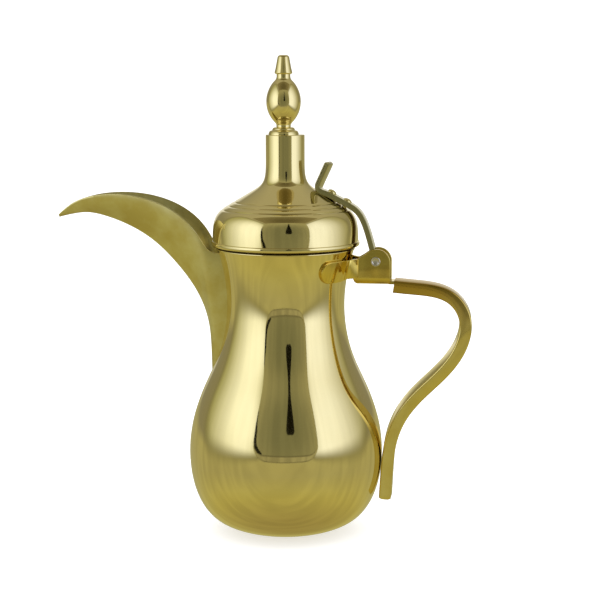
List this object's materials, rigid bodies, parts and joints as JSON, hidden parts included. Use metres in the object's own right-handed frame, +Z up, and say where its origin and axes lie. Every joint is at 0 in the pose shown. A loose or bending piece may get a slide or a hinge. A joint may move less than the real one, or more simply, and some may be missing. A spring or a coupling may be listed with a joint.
{
  "type": "dallah coffee pot",
  "caption": "Gold-finish dallah: gourd-shaped pot with a long open beak spout, a bar handle and a tall hinged lid with a turned finial.",
  "frame": {"origin": "centre of the flat base, on the pot's axis", "axes": "+Z up along the pot's axis, -X towards the spout's tip, +X towards the handle, Y along the hinge pin"},
  "size_m": [0.2503, 0.1166, 0.2866],
  "materials": {
    "polished_gold": "mirror-polished gold plating on spun sheet",
    "satin_gold": "satin gold plating on pressed sheet",
    "bracket_gold": "bright gold plating on bent sheet",
    "handle_gold": "soft-polished gold plating on solid bar",
    "strap_gold": "pale satin gold plating on flat bar",
    "steel": "plain bright steel"
  },
  "bodies": {
    "pot": {"body_shell": "polished_gold", "spout_half_near": "satin_gold", "spout_half_far": "satin_gold", "hinge_bracket": "bracket_gold", "hinge_rivet": "steel", "handle": "handle_gold"},
    "lid": {"lid_shell": "polished_gold", "lid_band": "polished_gold", "lid_skirt": "polished_gold", "lid_strap": "strap_gold", "strap_rivets": "strap_gold", "finial_flange": "polished_gold", "finial_egg": "polished_gold", "finial_tip": "polished_gold", "finial_stud": "steel", "finial_nut": "steel"}
  },
  "joints": [
    {"name": "lid_hinge", "type": "hinge", "parent": "pot", "child": "lid", "pos_m": [0.0547, 0, 0.1658], "axis": [0, 1, 0], "range_deg": [0, 115]}
  ]
}
